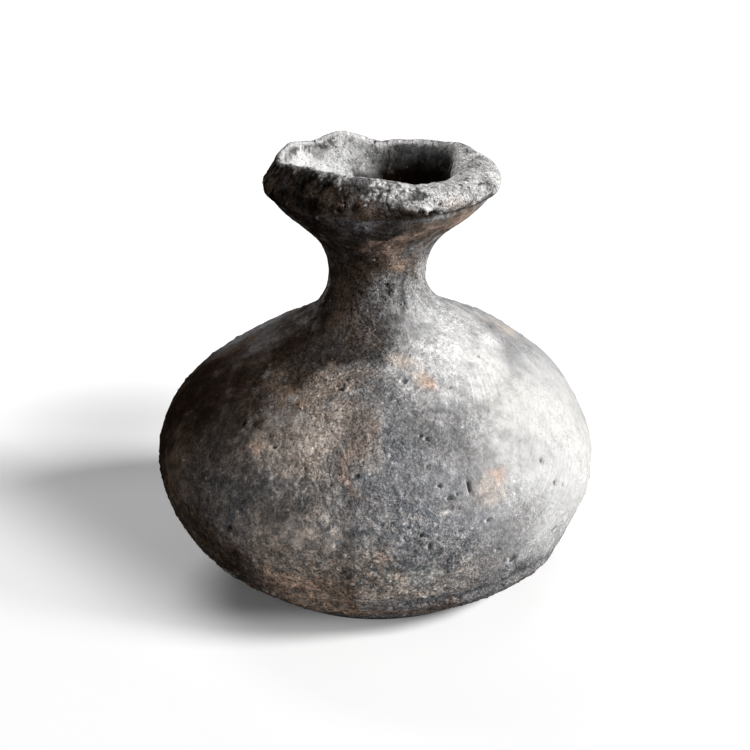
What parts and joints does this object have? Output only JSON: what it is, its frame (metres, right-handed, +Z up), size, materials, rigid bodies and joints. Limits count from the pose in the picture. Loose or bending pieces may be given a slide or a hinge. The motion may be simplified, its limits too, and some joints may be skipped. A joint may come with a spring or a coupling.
{
  "type": "ceramic flask",
  "caption": "Small hand-built smoked clay flask: low round belly on a flat base, narrow neck and a wide uneven funnel mouth with a rolled lip.",
  "frame": {"origin": "middle of the flat underside, on the surface that the flask stands on", "axes": "+Z up through the throat and out of the mouth; the flask's lopsided shoulder is fuller towards +X"},
  "size_m": [0.0925, 0.0925, 0.0916],
  "materials": {
    "smoked_clay": "unglazed, smoked dark grey with brown and pale patches",
    "scraped_clay": "unglazed, scraped and brown",
    "ashy_clay": "unglazed, dusty pale grey over black"
  },
  "bodies": {
    "root": {"base_pad": "scraped_clay", "heel_coil": "smoked_clay", "lower_wall_coil": "smoked_clay", "belly_coil": "smoked_clay", "upper_wall_coil": "smoked_clay", "shoulder_coil": "smoked_clay", "neck_seat_coil": "smoked_clay", "neck_collar": "smoked_clay", "mouth_funnel": "smoked_clay", "lip_coil": "ashy_clay"}
  },
  "joints": []
}
